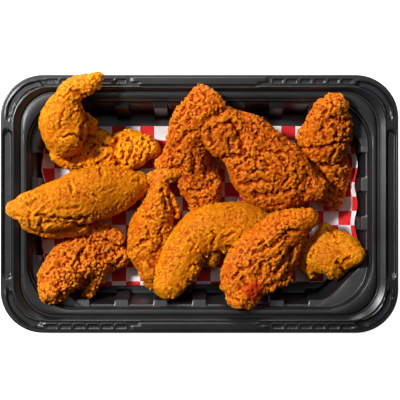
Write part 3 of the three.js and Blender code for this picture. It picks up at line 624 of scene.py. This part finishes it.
# Creases: depth and half width in millimetres, then their points as the camera sees them, in
# pixels of the 400-pixel frame. A depth below zero is a ridge or a swelling.
CREASES = {
    "tender_hooked": [
        (2.6, 1.3, (74, 91), (79, 93), (84, 96), (88, 99)), (1.4, 0.8, (88, 92), (87, 99)),
        (0.9, 0.8, (61, 96), (66, 96), (71, 93)), (1.0, 0.7, (62, 119), (64, 114), (66, 110)),
        (1.0, 0.8, (61, 127), (63, 121)), (0.9, 0.7, (72, 116), (76, 111), (81, 111)),
        (2.2, 1.1, (83, 109), (86, 114), (87, 119), (84, 126), (83, 133), (82, 139)),
        (1.6, 0.9, (60, 138), (68, 136), (75, 134), (81, 137)), (-1.4, 5.2, (66, 143), (76, 142)),
        (1.0, 0.8, (92, 84), (96, 87)), (-1.2, 2.1, (90, 78), (97, 74)),
    ],
    "tender_low": [
        (3.0, 1.5, (117, 140), (116, 147), (114, 153), (116, 159), (120, 166)),
        (1.4, 0.9, (90, 152), (93, 147), (95, 144)), (1.2, 0.8, (72, 160), (75, 155)),
        (1.4, 0.9, (98, 164), (104, 161), (110, 157), (113, 152)),
        (1.7, 0.9, (130, 139), (134, 147), (131, 155), (128, 164)),
        (1.7, 0.9, (143, 139), (145, 149), (142, 158)), (1.4, 0.8, (137, 150), (136, 160)),
        (1.4, 0.8, (150, 141), (151, 150), (147, 160)), (1.2, 0.7, (122, 146), (125, 152), (123, 160)),
        (1.2, 0.8, (100, 140), (105, 145), (111, 146)),
        (-1.3, 1.4, (97, 128), (103, 134), (110, 138), (116, 142)),
    ],
    "tender_middle": [
        (2.2, 1.1, (163, 189), (166, 200), (168, 212)), (2.2, 1.1, (170, 195), (174, 206), (177, 216)),
        (1.6, 0.9, (144, 216), (150, 216), (156, 219)), (1.6, 0.8, (163, 222), (161, 232), (164, 240)),
        (2.2, 1.1, (133, 249), (139, 243), (145, 241), (151, 238)),
        (1.6, 0.9, (150, 262), (155, 266), (158, 272)), (1.4, 0.8, (148, 228), (150, 236), (155, 243)),
        (1.6, 0.9, (152, 252), (158, 250), (162, 244)),
    ],
    "tender_upright": [
        (2.4, 1.7, (186, 109), (181, 116), (177, 124), (179, 130)),
        (1.8, 1.1, (188, 113), (191, 119), (186, 123)),
        (1.8, 1.2, (192, 131), (185, 136), (181, 143), (174, 147)),
        (1.4, 0.9, (201, 90), (207, 97), (205, 104)), (1.6, 2.1, (192, 106), (198, 111)),
        (1.4, 0.9, (180, 150), (186, 156), (184, 163)), (1.4, 0.9, (193, 153), (196, 163), (193, 172)),
        (1.8, 1.1, (190, 189), (199, 190), (208, 186), (214, 181)),
        (1.4, 0.8, (203, 160), (206, 170), (204, 178)), (1.6, 1.1, (196, 197), (199, 205)),
        (2.0, 1.4, (178, 168), (184, 168), (187, 177)), (1.4, 0.8, (193, 95), (191, 101)),
        (1.3, 0.8, (170, 150), (174, 156), (172, 162)),
    ],
    "tender_ragged": [
        (3.4, 1.7, (84, 250), (80, 256), (82, 262), (78, 268), (84, 275), (88, 282), (84, 290)),
        (2.4, 1.3, (84, 250), (90, 256), (97, 258), (104, 257), (112, 253), (117, 250)),
        (2.4, 2.7, (105, 254), (114, 252)), (1.6, 0.9, (90, 242), (97, 241), (104, 239), (110, 240)),
        (1.6, 0.9, (67, 254), (71, 259), (67, 264)), (2.0, 1.1, (56, 284), (62, 283), (70, 280)),
        (1.6, 0.9, (60, 292), (65, 297)), (1.6, 0.9, (76, 262), (74, 270)),
        (1.4, 0.8, (95, 270), (101, 272), (107, 268)), (1.6, 0.9, (118, 262), (121, 258), (124, 256)),
        (1.4, 0.8, (50, 272), (55, 268)), (1.5, 0.9, (62, 272), (68, 274), (72, 270)),
    ],
    "tender_leaning": [
        (2.0, 1.5, (324, 110), (323, 117), (327, 122)), (1.8, 1.3, (323, 122), (322, 130), (325, 138)),
        (2.0, 1.3, (331, 118), (337, 119), (344, 121), (350, 119)),
        (2.2, 1.2, (304, 148), (312, 148), (320, 148), (328, 146), (336, 143), (346, 142)),
        (1.6, 0.9, (335, 151), (331, 157), (329, 162)),
        (2.6, 1.4, (309, 163), (318, 164), (328, 165), (342, 163)),
        (2.4, 1.4, (318, 166), (323, 174), (330, 182), (337, 186)), (1.6, 1.1, (336, 170), (339, 177)),
        (1.4, 0.9, (306, 127), (309, 122)), (1.4, 0.9, (331, 100), (333, 106), (331, 112)),
        (1.6, 1.1, (338, 190), (341, 197)), (-1.6, 3.2, (336, 111), (345, 114)),
        (1.5, 0.9, (333, 125), (338, 131), (335, 138)),
    ],
    "tender_round": [
        (2.2, 1.1, (337, 262), (341, 264), (344, 260), (348, 258)), (1.8, 0.9, (341, 264), (343, 270)),
        (1.6, 0.9, (313, 273), (318, 277), (322, 276)), (1.8, 1.3, (318, 276), (321, 283)),
        (1.0, 0.8, (311, 256), (313, 250)), (1.0, 0.8, (327, 229), (333, 233), (337, 236)),
    ],
    "tender_curved": [
        (1.6, 0.9, (213, 231), (216, 234), (214, 240), (213, 247)),
        (1.4, 0.9, (224, 237), (230, 234), (236, 232)), (1.6, 0.9, (216, 250), (222, 253), (226, 258)),
        (1.6, 1.1, (200, 262), (203, 266), (206, 267)), (1.2, 0.8, (191, 240), (195, 244), (193, 249)),
        (1.2, 0.8, (204, 255), (207, 260)), (1.4, 0.9, (192, 266), (196, 264), (200, 262)),
        (1.0, 0.8, (168, 288), (172, 293), (170, 297)), (1.0, 0.8, (180, 285), (183, 291)),
        (1.4, 0.8, (190, 280), (194, 283), (192, 288)), (1.2, 0.8, (228, 246), (233, 249), (238, 247)),
    ],
    "tender_long": [
        (2.6, 1.2, (40, 214), (50, 217), (60, 218), (70, 219), (80, 219), (88, 217)),
        (2.2, 1.1, (44, 223), (55, 221), (65, 222), (75, 223), (85, 225)),
        (2.0, 1.2, (43, 216), (42, 224), (43, 231)), (1.2, 0.8, (31, 213), (31, 221), (33, 227)),
        (1.0, 0.7, (71, 181), (72, 188), (74, 191)), (0.9, 0.7, (80, 193), (87, 194), (91, 197)),
        (1.0, 0.8, (94, 194), (98, 197)), (1.4, 0.9, (101, 168), (103, 175)),
        (1.2, 0.9, (136, 181), (140, 179)), (0.9, 0.8, (60, 208), (70, 208), (80, 207)),
        (1.0, 0.8, (16, 213), (22, 216), (27, 221)), (-1.2, 2.1, (90, 167), (97, 168)),
    ],
    "tender_broad": [
        (2.6, 1.3, (211, 128), (210, 135), (213, 141)),
        (3.2, 1.6, (232, 122), (237, 128), (240, 135), (242, 144), (244, 153)),
        (1.8, 1.2, (216, 127), (222, 124), (231, 122)), (1.6, 1.1, (228, 139), (231, 147), (230, 152)),
        (3.2, 1.4, (226, 158), (235, 156), (245, 154)), (1.8, 0.9, (246, 158), (256, 157), (263, 156)),
        (1.7, 0.9, (258, 150), (268, 151), (278, 152), (288, 152)),
        (2.0, 0.9, (240, 170), (250, 172), (260, 169), (269, 171)),
        (2.2, 1.1, (241, 184), (251, 182), (262, 180), (272, 182)),
        (2.0, 1.1, (256, 194), (268, 194), (280, 192), (291, 190)),
        (1.8, 0.9, (281, 158), (287, 166), (289, 176), (284, 184)),
        (1.6, 0.9, (296, 172), (300, 180), (298, 188)), (1.6, 0.9, (305, 168), (310, 177), (311, 188)),
        (1.8, 0.9, (279, 137), (286, 143), (294, 150)), (1.4, 0.8, (255, 124), (260, 130), (257, 137)),
        (1.6, 0.9, (262, 160), (268, 165), (276, 163)), (1.4, 0.8, (300, 190), (306, 194), (303, 199)),
        (1.6, 0.9, (268, 205), (276, 206), (284, 203)), (-1.2, 2.3, (246, 188), (258, 187), (270, 188)),
        (-1.2, 2.1, (243, 177), (255, 176)),
    ],
    "tender_top": [
        (2.2, 1.1, (300, 230), (292, 230), (284, 235), (278, 241), (270, 246), (262, 249), (254, 252)),
        (2.0, 1.1, (254, 252), (255, 258), (250, 264), (244, 268)),
        (1.8, 0.9, (239, 268), (238, 274), (233, 277)),
        (1.6, 0.9, (260, 262), (268, 260), (275, 256), (282, 251)),
        (2.6, 1.6, (290, 249), (285, 257), (281, 264), (277, 271)),
        (1.8, 1.1, (262, 264), (261, 272), (257, 279)), (2.2, 1.4, (242, 277), (246, 283), (240, 288)),
        (1.6, 0.9, (266, 286), (275, 282), (284, 276)), (1.6, 1.1, (285, 229), (290, 234), (286, 238)),
        (1.4, 0.9, (224, 291), (232, 296), (238, 299)), (1.4, 0.8, (270, 262), (272, 270), (280, 272)),
        (1.4, 0.8, (265, 240), (260, 243)), (1.4, 0.9, (250, 290), (256, 296), (262, 293)),
    ],
}


def frame_pixels(points):
    """Where the camera sees each point, in pixels of the 400-pixel frame."""
    pixel = FRAME_PIXEL * MM * (CAMERA_HEIGHT - points[:, 2])
    return FRAME_HALF + points[:, 0] / pixel, FRAME_HALF - (points[:, 1] - CREASE_VIEW_Y) / pixel


def distance_to_line(u, v, line):
    """How far each place lies from a line of straight stretches, in pixels."""
    nearest = np.full(len(u), np.inf)
    for (u0, v0), (u1, v1) in zip(line, line[1:]):
        du, dv = u1 - u0, v1 - v0
        share = np.clip(((u - u0) * du + (v - v0) * dv) / (du * du + dv * dv), 0, 1)
        nearest = np.minimum(nearest, np.hypot(u - u0 - share * du, v - v0 - share * dv))
    return nearest


def creased(piece, creases):
    """Presses the creases into the upper side of a tender, with a low lip along each."""
    mesh = piece.data
    points = np.zeros(len(mesh.vertices) * 3, np.float32)
    normals = np.zeros(len(mesh.vertices) * 3, np.float32)
    mesh.vertices.foreach_get("co", points)
    mesh.vertices.foreach_get("normal", normals)
    points, normals = points.reshape(-1, 3), normals.reshape(-1, 3)
    u, v = frame_pixels(points)
    ragged_u, ragged_v = u, v
    for height, across, down, start in WANDER_ACROSS:
        ragged_u = ragged_u + height * np.sin(across * u + down * v + start)
    for height, across, down, start in WANDER_DOWN:
        ragged_v = ragged_v + height * np.sin(across * u + down * v + start)
    waver = 1 + WIDTH_WAVER * np.sin(WAVER_ACROSS * u + WAVER_DOWN * v)
    upward = np.clip((normals[:, 2] - UPPER_FROM) / UPPER_SPAN, 0, 1)
    amount = np.zeros(len(points))
    for depth, half_width, *line in creases:
        nearest = distance_to_line(ragged_u, ragged_v, line)
        width = CREASE_WIDTH * half_width / FRAME_PIXEL * waver
        press = depth * np.exp(-(nearest / width) ** 2)
        if depth > 0:
            press -= LIP_SHARE * depth * np.exp(-((nearest - LIP_PLACE * width) / width) ** 2)
        amount = np.where(np.abs(press) > np.abs(amount), press, amount)
    inward = normals * PRESS_ALONG_NORMAL + np.array(PRESS_DOWN)
    points -= inward * (CREASE_DEPTH * amount * upward * MM)[:, None]
    mesh.vertices.foreach_set("co", points.ravel())
    mesh.update()


def smooth_form(node, name):
    """A fine smooth copy of a tender's solid, in place of its flat faces."""
    form = bpy.data.objects.new(name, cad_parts[node].data.copy())
    bpy.context.scene.collection.objects.link(form)
    form.data.materials.clear()
    mesh = bmesh.new()
    mesh.from_mesh(form.data)
    bmesh.ops.remove_doubles(mesh, verts=mesh.verts, dist=MERGE_DISTANCE)
    mesh.to_mesh(form.data)
    mesh.free()
    remesh = form.modifiers.new("even", "REMESH")
    remesh.mode = "VOXEL"
    remesh.voxel_size = BASE_VOXEL
    soften = form.modifiers.new("soften", "SMOOTH")
    soften.factor = 0.5
    soften.iterations = 6
    swell = form.modifiers.new("swell", "DISPLACE")
    swell.strength = SWELL
    swell.mid_level = 0.0
    finer = form.modifiers.new("finer", "SUBSURF")
    finer.subdivision_type = "SIMPLE"
    finer.levels = 1
    finer.render_levels = 1
    return baked(form)


def new_tree(name, sockets):
    """A geometry tree with a mesh in and out and the named inputs, and add_node for it."""
    tree = bpy.data.node_groups.new(name, "GeometryNodeTree")
    tree.interface.new_socket("Geometry", in_out="INPUT", socket_type="NodeSocketGeometry")
    tree.interface.new_socket("Geometry", in_out="OUTPUT", socket_type="NodeSocketGeometry")
    for label, kind in sockets:
        tree.interface.new_socket(label, in_out="INPUT", socket_type=kind)
    return tree, partial(add_node, tree)


def run_tree(piece, tree, **values):
    """Adds the tree to the piece, and sets its inputs by their identifiers."""
    modifier = piece.modifiers.new(tree.name, "NODES")
    modifier.node_group = tree
    for item in tree.interface.items_tree:
        key = item.name.lower().replace(" ", "_")
        if item.item_type == "SOCKET" and item.in_out == "INPUT" and key in values:
            modifier[item.identifier] = values[key]


# Domes of crust: size and height in millimetres and how bent they are. Clumps push the form out
# before the crust is fused, grains after it, with the least share that a smooth tender gets.
CLUMPS = ((11.0, 2.0, 0.9), (5.6, 1.7, 0.8))
GRAINS = ((3.1, 1.15, 0.7, 0.2), (1.8, 0.6, 0.6, 0.65))
CLUMP_MIDDLE = 0.6
GRAIN_MIDDLE = 0.55
# How many of its own sizes each pattern is moved, so that no two of them agree.
CLUMP_SHIFT = (31, 0, 17)
GRAIN_SHIFT = (0, 23, 0)
WARP_SPREAD = 1.6
DOME_FALL = -1.3
SEED_STEP = 0.137
# Flakes of flour: radius in millimetres, number on a square metre, flatness and added seed.
FLAKES = ((1.7, 40000.0, 0.85, 0), (1.1, 120000.0, 0.95, 50))
# Two attributes that steer the painted shade in the crust's creases and the painted highlight on its high
# spots: rounds of blur, and the depth in millimetres that counts as full.
HOLLOWS = (("cavity", 5, 0.30), ("hollow", 40, 1.3))


def domes(add, place, size, warp, shift):
    """Round nubs with sharp valleys between them, highest at 1 in the middle of each nub."""
    bend = add("ShaderNodeTexNoise", {"Vector": place, "Scale": 1 / (size * WARP_SPREAD), "Detail": 2.0})
    centred = add("ShaderNodeVectorMath", {0: bend.outputs["Color"], 1: (0.5, 0.5, 0.5)},
                  operation="SUBTRACT")
    scaled = add("ShaderNodeVectorMath", {0: centred, "Scale": size * warp}, operation="SCALE")
    moved = add("ShaderNodeVectorMath", {0: place, 1: scaled}, operation="ADD")
    offset = tuple(size * k for k in shift)
    shifted = add("ShaderNodeVectorMath", {0: moved, 1: offset}, operation="ADD")
    cells = add("ShaderNodeTexVoronoi", {"Vector": shifted, "Scale": 1.0 / size})
    squared = add("ShaderNodeMath", {0: cells, 1: 2.0}, operation="POWER")
    return add("ShaderNodeMath", {0: squared, 1: DOME_FALL, 2: 1.0}, operation="MULTIPLY_ADD")


def domed(add, geometry, swell, middle, depth, strength):
    """Moves the surface along its normal: out on the domes and in between them."""
    centred = add("ShaderNodeMath", {0: swell, 1: middle}, operation="SUBTRACT")
    scaled = add("ShaderNodeMath", {0: centred, 1: depth}, operation="MULTIPLY")
    amount = add("ShaderNodeMath", {0: scaled, 1: strength}, operation="MULTIPLY")
    normal = add("GeometryNodeInputNormal")
    offset = add("ShaderNodeVectorMath", {0: normal, "Scale": amount}, operation="SCALE")
    return add("GeometryNodeSetPosition", {"Geometry": geometry, "Offset": offset})


def finish_tree(add, geometry, material):
    """Ends a tree with a plain mesh in its material."""
    real = add("GeometryNodeRealizeInstances", {0: geometry})
    dressed = add("GeometryNodeSetMaterial", {"Geometry": real, "Material": material})
    add("NodeGroupOutput", {0: dressed})


def clump_tree():
    """Domes of crust of two sizes, with flakes scattered over the craggy parts."""
    tree, add = new_tree("crust_clumps", [
        ("Crag", "NodeSocketFloat"), ("Flakes", "NodeSocketFloat"),
        ("Seed", "NodeSocketInt"), ("Crumb", "NodeSocketMaterial"),
    ])
    source = add("NodeGroupInput")
    crag, flakes, first_seed = (source.outputs[name] for name in ("Crag", "Flakes", "Seed"))
    place = add("GeometryNodeInputPosition")
    seed_step = add("ShaderNodeMath", {0: first_seed, 1: SEED_STEP}, operation="MULTIPLY")
    shift = add("ShaderNodeCombineXYZ", {"X": seed_step, "Z": seed_step})
    moved = add("ShaderNodeVectorMath", {0: place, 1: shift}, operation="ADD")

    region = add("ShaderNodeTexNoise", {"Vector": moved, "Scale": 1 / (21 * MM), "Detail": 1.0})
    rough = add("ShaderNodeMapRange", {
        "Value": region, "From Min": 0.36, "From Max": 0.6, "To Min": 0.25, "To Max": 1.0})
    strength = add("ShaderNodeMath", {0: rough, 1: crag}, operation="MULTIPLY")

    geometry = source.outputs["Geometry"]
    for size, depth, warp in CLUMPS:
        swell = domes(add, moved, size * MM, warp, CLUMP_SHIFT)
        geometry = domed(add, geometry, swell, CLUMP_MIDDLE, depth * MM, strength)

    thick = add("ShaderNodeMath", {0: strength, 1: 2.0}, operation="POWER")
    density = add("ShaderNodeMath", {0: thick, 1: flakes}, operation="MULTIPLY")
    for size, per_area, flat, salt in FLAKES:
        seed = add("ShaderNodeMath", {0: first_seed, 1: float(salt)}, operation="ADD")
        packed = add("ShaderNodeMath", {0: density, 1: per_area}, operation="MULTIPLY")
        scatter = add("GeometryNodeDistributePointsOnFaces",
                      {"Mesh": geometry, "Density": packed, "Seed": seed})
        ball = add("GeometryNodeMeshIcoSphere", {"Radius": size * MM, "Subdivisions": 2})
        tilt = add("FunctionNodeRandomValue", {
            "Min": (-0.9, -0.9, -3.1), "Max": (0.9, 0.9, 3.1), "Seed": salt + 3}, data_type="FLOAT_VECTOR")
        turn = add("FunctionNodeRotateRotation",
                   {0: scatter.outputs["Rotation"], 1: tilt}, rotation_space="LOCAL")
        spread = add("FunctionNodeRandomValue", {
            "Min": (0.5, 0.5, 0.5 * flat), "Max": (1.25, 1.1, flat), "Seed": salt + 4},
            data_type="FLOAT_VECTOR")
        lumps = add("GeometryNodeInstanceOnPoints", {
            "Points": scatter, "Instance": ball, "Rotation": turn, "Scale": spread})
        real = add("GeometryNodeRealizeInstances", {0: lumps})
        geometry = add("GeometryNodeJoinGeometry", {0: [real, geometry]})
    finish_tree(add, geometry, source.outputs["Crumb"])
    return tree


def grain_tree():
    """Fine domes and grain on the fused crust, and two attributes that say where creases lie."""
    tree, add = new_tree("crust_grain", [("Crag", "NodeSocketFloat"), ("Crust", "NodeSocketMaterial")])
    source = add("NodeGroupInput")
    place = add("GeometryNodeInputPosition")
    geometry = source.outputs["Geometry"]
    region = add("ShaderNodeTexNoise", {"Vector": place, "Scale": 1 / (9 * MM), "Detail": 2.0})
    uneven = add("ShaderNodeMapRange", {
        "Value": region, "From Min": 0.35, "From Max": 0.62, "To Min": 0.35, "To Max": 1.3})
    for size, depth, warp, least in GRAINS:
        lift = add("ShaderNodeMapRange", {
            "Value": source.outputs["Crag"], "To Min": least, "To Max": 1.15})
        here = add("ShaderNodeMath", {0: uneven, 1: lift}, operation="MULTIPLY")
        swell = domes(add, place, size * MM, warp, GRAIN_SHIFT)
        geometry = domed(add, geometry, swell, GRAIN_MIDDLE, depth * MM, here)
    for name, rounds, reach in HOLLOWS:
        normal = add("GeometryNodeInputNormal")
        blurred = add("GeometryNodeBlurAttribute", {"Value": place, "Iterations": rounds},
                      data_type="FLOAT_VECTOR")
        apart = add("ShaderNodeVectorMath", {0: place, 1: blurred}, operation="SUBTRACT")
        height = add("ShaderNodeVectorMath", {0: apart, 1: normal}, operation="DOT_PRODUCT")
        share = add("ShaderNodeMath", {0: height, 1: 1 / (reach * MM)}, operation="MULTIPLY")
        geometry = add("GeometryNodeStoreNamedAttribute", {
            "Geometry": geometry, "Name": name, "Value": share}, data_type="FLOAT", domain="POINT")
    finish_tree(add, geometry, source.outputs["Crust"])
    return tree


def fried_crust(name, seed, crease_shade, body, high_spot_highlight):
    """Fried flour crust: crisp and a little oily, with painted shade that darkens its creases and hollows and
    a painted highlight that pales its high spots.

    Its real crumbs are finer; they are drawn about a millimetre wide so that they show.
    """
    material, add = new_material("fried_flour_crust_" + name)
    place = add("ShaderNodeTexCoord").outputs["Object"]
    shifted = add("ShaderNodeMapping", {"Vector": place, "Location": (seed * 0.1, 0.0, 0.0)})
    cavity = add("ShaderNodeAttribute", attribute_name="cavity").outputs["Fac"]
    hollow = add("ShaderNodeAttribute", attribute_name="hollow").outputs["Fac"]
    both = add("ShaderNodeMath", {0: cavity, 1: 0.45, 2: hollow}, operation="MULTIPLY_ADD")
    spread = add("ShaderNodeMapRange", {"Value": both, "From Min": -1.1, "From Max": 1.1})
    # Painted shade and highlight: the ramp darkens creases and hollows and pales high spots by their depth.
    depth = add("ShaderNodeValToRGB", {"Fac": spread})
    stops = depth.color_ramp.elements
    stops[1].position = 0.82
    stops[1].color = linear(high_spot_highlight)
    stops[0].position = 0.18
    stops[0].color = linear(crease_shade)
    stops.new(0.47).color = linear(body)

    patch = add("ShaderNodeTexNoise", {
        "Vector": shifted, "Scale": 1 / (13 * MM), "Detail": 5.0, "Roughness": 0.6})
    browned = add("ShaderNodeMapRange", {
        "Value": patch, "From Min": 0.5, "From Max": 0.72, "To Min": 0.0, "To Max": 0.5})
    deep = add("ShaderNodeMix", {"Factor": browned, "A": depth, "B": linear(BROWNED)}, data_type="RGBA")
    crumb = add("ShaderNodeTexNoise", {"Vector": shifted, "Scale": 1 / (1.1 * MM), "Detail": 3.0})
    mottle = add("ShaderNodeMapRange", {
        "Value": crumb, "From Min": 0.3, "From Max": 0.7, "To Min": 0.82, "To Max": 1.16})
    mottled = add("ShaderNodeMix", {"Factor": 1.0, "A": deep, "B": mottle},
                  data_type="RGBA", blend_type="MULTIPLY")
    pepper = add("ShaderNodeTexVoronoi", {"Vector": shifted, "Scale": 1 / (3.4 * MM)})
    dot = add("ShaderNodeMapRange", {
        "Value": pepper, "From Min": 0.10, "From Max": 0.06, "To Min": 0.0, "To Max": 0.7})
    colour = add("ShaderNodeMix", {"Factor": dot, "A": mottled, "B": linear(PEPPER)}, data_type="RGBA")
    if name in SCORCHED:
        spot = [c * MM for c in SCORCHED[name]]
        reach = add("ShaderNodeVectorMath", {0: place, 1: tuple(spot)}, operation="DISTANCE")
        edge = add("ShaderNodeMath", {0: crumb, 1: SCORCH_EDGE, 2: reach}, operation="MULTIPLY_ADD")
        share = add("ShaderNodeMapRange", {
            "Value": edge, "From Min": SCORCH_RADIUS, "From Max": SCORCH_RADIUS * 1.5,
            "To Min": 0.95, "To Max": 0.0})
        colour = add("ShaderNodeMix", {"Factor": share, "A": colour, "B": linear(SCORCH_RED)},
                     data_type="RGBA")
    oil = add("ShaderNodeTexNoise", {"Vector": shifted, "Scale": 1 / (7 * MM), "Detail": 2.0})
    rough = add("ShaderNodeMapRange", {
        "Value": oil, "From Min": 0.35, "From Max": 0.65, "To Min": 0.5, "To Max": 0.72})
    fine = add("ShaderNodeTexNoise", {"Vector": shifted, "Scale": 1 / (0.45 * MM), "Detail": 2.0})
    bump = add("ShaderNodeBump", {"Height": fine, "Strength": 0.35, "Distance": 0.2 * MM})
    skin = add("ShaderNodeBsdfPrincipled", {
        "Base Color": colour, "Roughness": rough, "IOR": 1.45, "Normal": bump, "Specular IOR Level": 0.1,
        "Subsurface Weight": 0.4, "Subsurface Radius": (1.0, 0.3, 0.08), "Subsurface Scale": 2.0 * MM,
    })
    add("ShaderNodeOutputMaterial", {"Surface": skin})
    return material


clumps = clump_tree()
grain = grain_tree()
for node, (crag, flakes, seed, crease_shade, body, high_spot_highlight) in TENDERS.items():
    tender = smooth_form(node, "fried_" + node)
    crust = fried_crust(node, seed, crease_shade, body, high_spot_highlight)
    creased(tender, CREASES[node])
    run_tree(tender, clumps, crag=crag, flakes=flakes, seed=seed, crumb=crust)
    fuse = tender.modifiers.new("fuse", "REMESH")
    fuse.mode = "VOXEL"
    fuse.voxel_size = VOXEL
    run_tree(tender, grain, crag=crag, crust=crust)
    baked(tender)
    smooth_shaded(tender)
    dress(tender, crust, "fried_crust", node)


# The floor, the camera and the lights.
# A plain white table under the tray, a camera that looks straight down as in the photograph, a
# small key lamp at the left and back, and two weak lamps at the back that draw the rim's edges.
TABLE_HALF = 4000.0
TABLE_TOP = -0.2
CAMERA_PLACE = (0.0005, 0.0032, CAMERA_HEIGHT)
CAMERA_LENS = 110.4
LIGHT_TARGET = (0.0, 0.0, 0.03)
KEY_ELEVATION = math.radians(50)
KEY_AZIMUTH = math.radians(152)
KEY_DISTANCE = 1.5
ROOM_LIGHT = 0.02


def white_table():
    """Matt white board that glows a little, so that it stays white beside the tray."""
    material, add = new_material("matt_white_board")
    place = add("ShaderNodeTexCoord").outputs["Object"]
    tooth = add("ShaderNodeTexNoise", {"Vector": place, "Scale": 1 / (2.5 * MM)})
    bump = add("ShaderNodeBump", {"Height": tooth, "Strength": 0.05, "Distance": MM})
    board = add("ShaderNodeBsdfPrincipled", {
        "Base Color": linear("#F6F6F6"), "Roughness": 0.9, "Normal": bump,
        "Emission Color": linear("#FFFFFF"), "Emission Strength": 1.0,
    })
    add("ShaderNodeOutputMaterial", {"Surface": board})
    return material


def aimed_light(name, place, size, power, depth=None):
    """A square or oblong area lamp that looks at the tray, in metres and watts."""
    data = bpy.data.lights.new(name, "AREA")
    data.shape = "RECTANGLE"
    data.size = size
    data.size_y = depth or size
    data.energy = power
    lamp = bpy.data.objects.new(name, data)
    bpy.context.scene.collection.objects.link(lamp)
    lamp.location = place
    toward = np.array(LIGHT_TARGET) - np.array(place)
    lamp.rotation_euler = Vector(toward).to_track_quat("-Z", "Y").to_euler()


corners = [(x * TABLE_HALF, y * TABLE_HALF, TABLE_TOP) for x, y in ((-1, -1), (1, -1), (1, 1), (-1, 1))]
table = mesh_piece("table", corners, [(0, 1, 2, 3)])
table.data.materials.append(white_table())

camera_data = bpy.data.cameras.new("overhead_camera")
camera_data.lens = CAMERA_LENS
camera_data.sensor_width = 36.0
camera = bpy.data.objects.new("overhead_camera", camera_data)
camera.location = CAMERA_PLACE
bpy.context.scene.collection.objects.link(camera)
bpy.context.scene.camera = camera

key_place = (KEY_DISTANCE * math.cos(KEY_ELEVATION) * math.cos(KEY_AZIMUTH),
             KEY_DISTANCE * math.cos(KEY_ELEVATION) * math.sin(KEY_AZIMUTH),
             KEY_DISTANCE * math.sin(KEY_ELEVATION))
aimed_light("key_lamp", key_place, 0.14, 30.5)
aimed_light("overhead_softbox", (0.0, 0.46, 1.25), 1.0, 1.8, depth=0.45)
aimed_light("back_strip", (-0.1, 1.1, 0.55), 0.4, 5.0)
world = bpy.data.worlds.new("soft_grey")
world.use_nodes = True
world.node_tree.nodes.clear()
room = add_node(world.node_tree, "ShaderNodeBackground", {
    "Color": linear("#F4F2F0"), "Strength": ROOM_LIGHT})
add_node(world.node_tree, "ShaderNodeOutputWorld", {"Surface": room})
bpy.context.scene.world = world
bpy.context.scene.view_settings.view_transform = "Standard"
